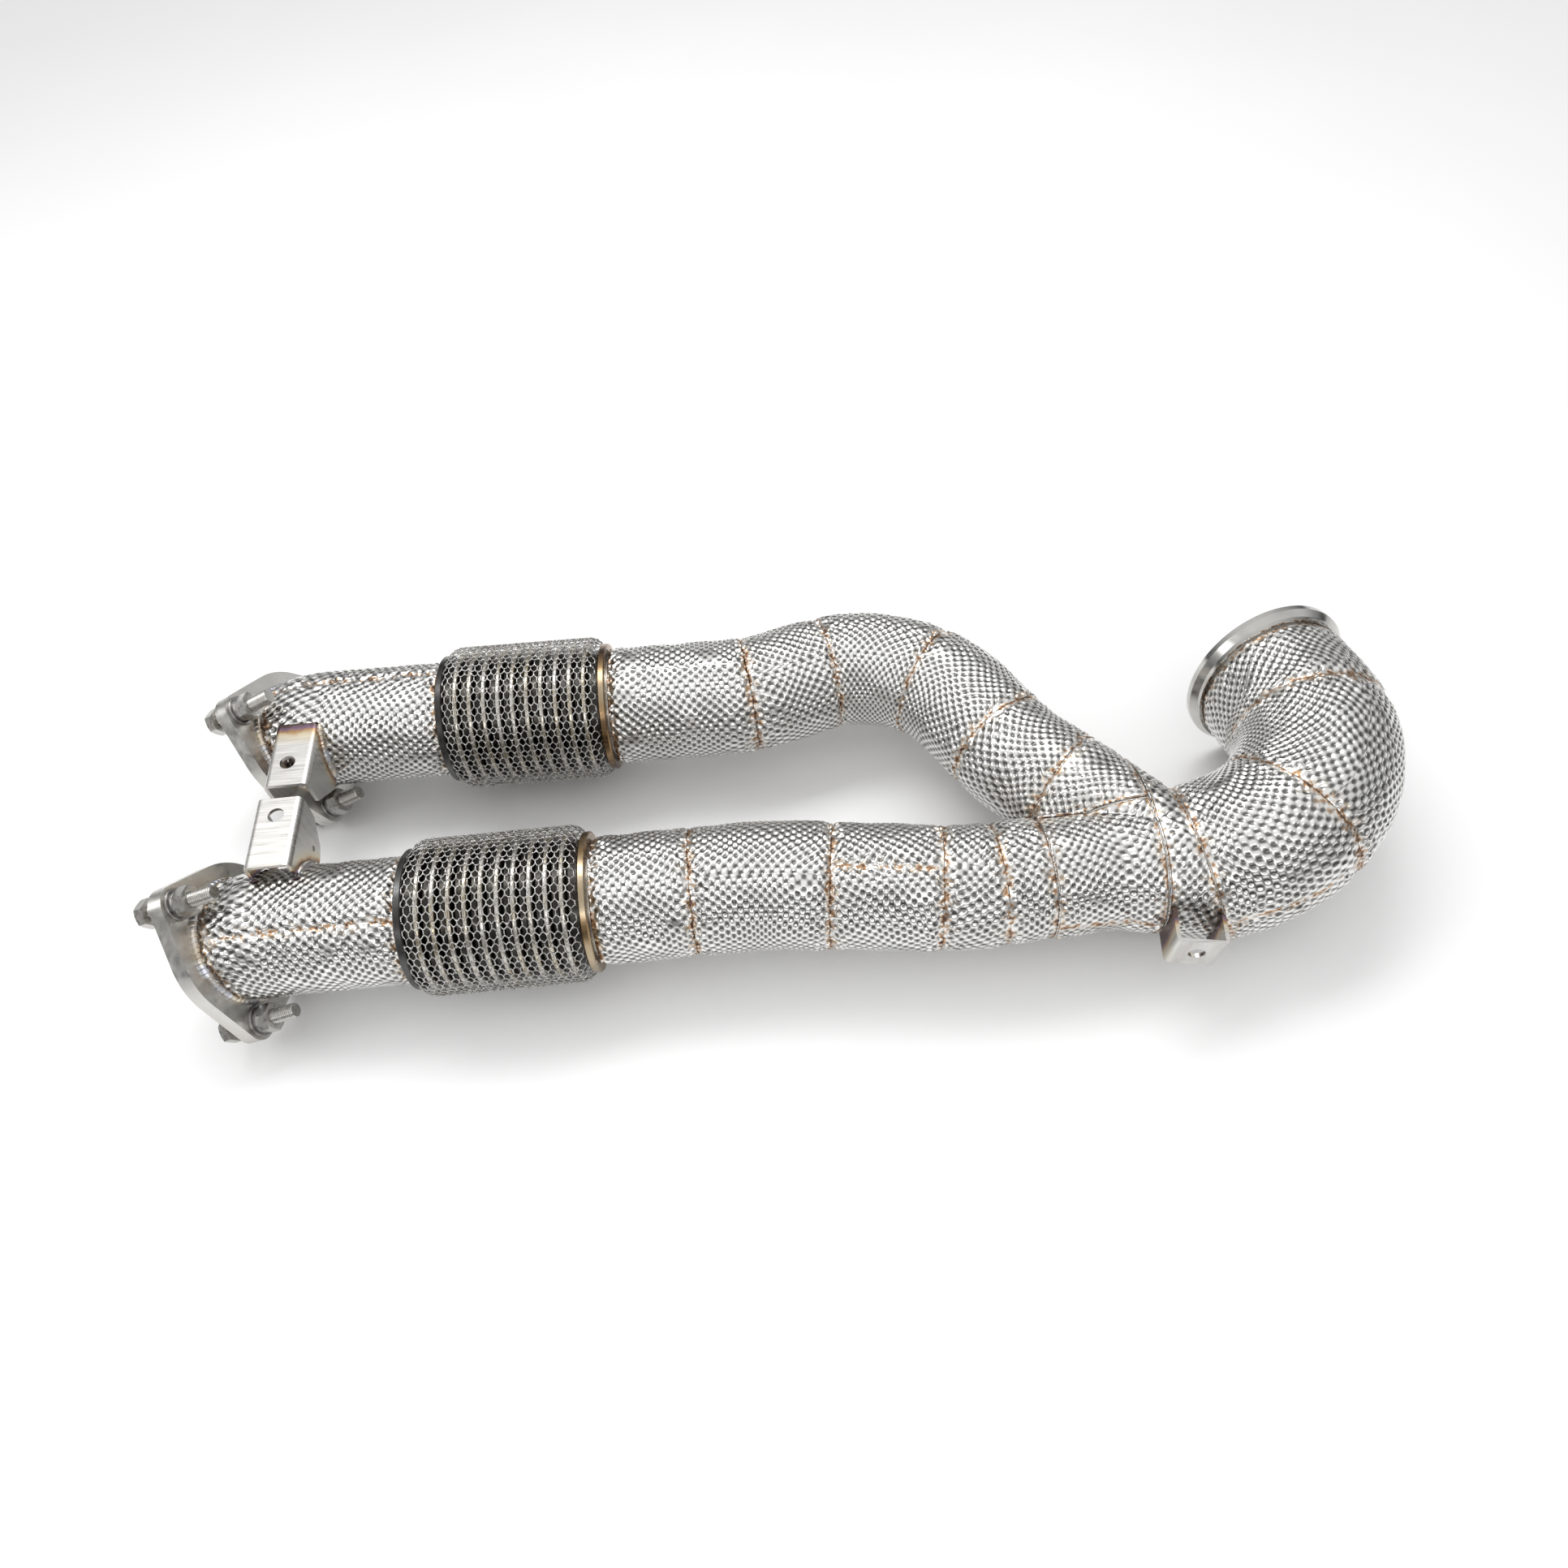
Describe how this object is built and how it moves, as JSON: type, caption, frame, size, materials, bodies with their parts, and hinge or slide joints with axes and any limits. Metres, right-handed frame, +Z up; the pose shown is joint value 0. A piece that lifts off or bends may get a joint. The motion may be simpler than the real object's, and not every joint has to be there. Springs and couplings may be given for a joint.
{
  "type": "exhaust manifold",
  "caption": "Heat-shielded exhaust Y-pipe: a clamped inlet bend feeds a collector that splits into flexible legs, each ending in a bolted flange with a bracket.",
  "frame": {"origin": "centre of the turbocharger flange's sealing face", "axes": "+X along the legs from the outlet flanges to the collector, +Y from the near leg to the far leg, +Z up as the part lies"},
  "size_m": [0.8154, 0.3109, 0.1265],
  "materials": {
    "embossed_foil": "bright dimpled foil",
    "stainless_tube": "satin",
    "machined_steel": "machined",
    "flange_plate": "satin",
    "bracket_sheet": "brushed",
    "knitted_wire": "knitted wire mesh",
    "bellows": "heat tinted",
    "tinted_ring": "heat tinted",
    "dark_ring": "satin",
    "weld_bead": "rippled weld",
    "bolt_steel": "plated",
    "nut_steel": "plated",
    "washer_steel": "plated"
  },
  "bodies": {
    "pipework": {"turbo_flange": "machined_steel", "inlet_pipe_1": "stainless_tube", "inlet_pipe_2": "stainless_tube", "inlet_pipe_3": "stainless_tube", "inlet_wrap_1": "embossed_foil", "inlet_wrap_2": "embossed_foil", "inlet_wrap_3": "embossed_foil", "collector_body": "stainless_tube", "collector_wrap_near": "embossed_foil", "collector_wrap_far": "embossed_foil", "neck_wrap": "embossed_foil", "collector_bracket": "bracket_sheet", "near_leg_pipe": "stainless_tube", "near_wrap_1": "embossed_foil", "near_wrap_2": "embossed_foil", "near_wrap_3": "embossed_foil", "near_wrap_4": "embossed_foil", "near_wrap_5": "embossed_foil", "near_inner_ring": "tinted_ring", "far_leg_pipe": "stainless_tube", "far_wrap_1": "embossed_foil", "far_wrap_2": "embossed_foil", "far_wrap_3": "embossed_foil", "far_wrap_4": "embossed_foil", "far_wrap_5": "embossed_foil", "far_inner_ring": "tinted_ring"},
    "near_flex_slide": {"near_bellows": "bellows"},
    "near_flex_swing": {"near_sleeve": "knitted_wire"},
    "near_outlet": {"near_outer_ring": "dark_ring", "near_outlet_pipe": "stainless_tube", "near_outlet_wrap": "embossed_foil", "near_flange": "flange_plate", "near_flange_weld": "weld_bead", "near_outlet_bracket": "bracket_sheet"},
    "far_flex_slide": {"far_bellows": "bellows"},
    "far_flex_swing": {"far_sleeve": "knitted_wire"},
    "far_outlet": {"far_outer_ring": "dark_ring", "far_outlet_pipe": "stainless_tube", "far_outlet_wrap": "embossed_foil", "far_flange": "flange_plate", "far_flange_weld": "weld_bead", "far_outlet_bracket": "bracket_sheet"},
    "near_top_fastener": {"near_top_bolt": "bolt_steel", "near_top_nut": "nut_steel", "near_top_washers": "washer_steel"},
    "near_near_fastener": {"near_near_bolt": "bolt_steel", "near_near_nut": "nut_steel", "near_near_washers": "washer_steel"},
    "near_far_fastener": {"near_far_bolt": "bolt_steel", "near_far_nut": "nut_steel", "near_far_washers": "washer_steel"},
    "far_top_fastener": {"far_top_bolt": "bolt_steel", "far_top_nut": "nut_steel", "far_top_washers": "washer_steel"},
    "far_near_fastener": {"far_near_bolt": "bolt_steel", "far_near_nut": "nut_steel", "far_near_washers": "washer_steel"},
    "far_far_fastener": {"far_far_bolt": "bolt_steel", "far_far_nut": "nut_steel", "far_far_washers": "washer_steel"}
  },
  "joints": [
    {"name": "near_stretch", "type": "slide", "parent": "pipework", "child": "near_flex_slide", "axis": [1, 0, 0], "range_m": [-0.008, 0.008], "stiffness_N_per_m": 20000, "deforming": ["near_bellows", "near_sleeve"]},
    {"name": "near_sideways", "type": "hinge", "parent": "near_flex_slide", "child": "near_flex_swing", "pos_m": [-0.5345, -0.133, -0.002], "axis": [0, 0, 1], "range_deg": [-4, 4], "stiffness_Nm_per_rad": 300},
    {"name": "near_up_down", "type": "hinge", "parent": "near_flex_swing", "child": "near_outlet", "pos_m": [-0.5705, -0.133, -0.002], "axis": [0, 1, 0], "range_deg": [-6, 6], "stiffness_Nm_per_rad": 300},
    {"name": "far_stretch", "type": "slide", "parent": "pipework", "child": "far_flex_slide", "axis": [0.9997, -0.024, 0], "range_m": [-0.008, 0.008], "stiffness_N_per_m": 20000, "deforming": ["far_bellows", "far_sleeve"]},
    {"name": "far_sideways", "type": "hinge", "parent": "far_flex_slide", "child": "far_flex_swing", "pos_m": [-0.5235, 0.0302, -0.002], "axis": [0, 0, 1], "range_deg": [-4, 4], "stiffness_Nm_per_rad": 300},
    {"name": "far_up_down", "type": "hinge", "parent": "far_flex_swing", "child": "far_outlet", "pos_m": [-0.55949, 0.03106, -0.002], "axis": [0.024, 0.9997, 0], "range_deg": [-6, 6], "stiffness_Nm_per_rad": 300},
    {"name": "near_top_bolt_slide", "type": "slide", "parent": "near_outlet", "child": "near_top_fastener", "axis": [0.9397, 0, 0.342], "range_m": [0, 0.0085]},
    {"name": "near_near_bolt_slide", "type": "slide", "parent": "near_outlet", "child": "near_near_fastener", "axis": [0.9397, 0, 0.342], "range_m": [0, 0.0085]},
    {"name": "near_far_bolt_slide", "type": "slide", "parent": "near_outlet", "child": "near_far_fastener", "axis": [0.9397, 0, 0.342], "range_m": [0, 0.0085]},
    {"name": "far_top_bolt_slide", "type": "slide", "parent": "far_outlet", "child": "far_top_fastener", "axis": [0.8907, -0.0214, 0.454], "range_m": [0, 0.0085]},
    {"name": "far_near_bolt_slide", "type": "slide", "parent": "far_outlet", "child": "far_near_fastener", "axis": [0.8907, -0.0214, 0.454], "range_m": [0, 0.0085]},
    {"name": "far_far_bolt_slide", "type": "slide", "parent": "far_outlet", "child": "far_far_fastener", "axis": [0.8907, -0.0214, 0.454], "range_m": [0, 0.0085]}
  ]
}
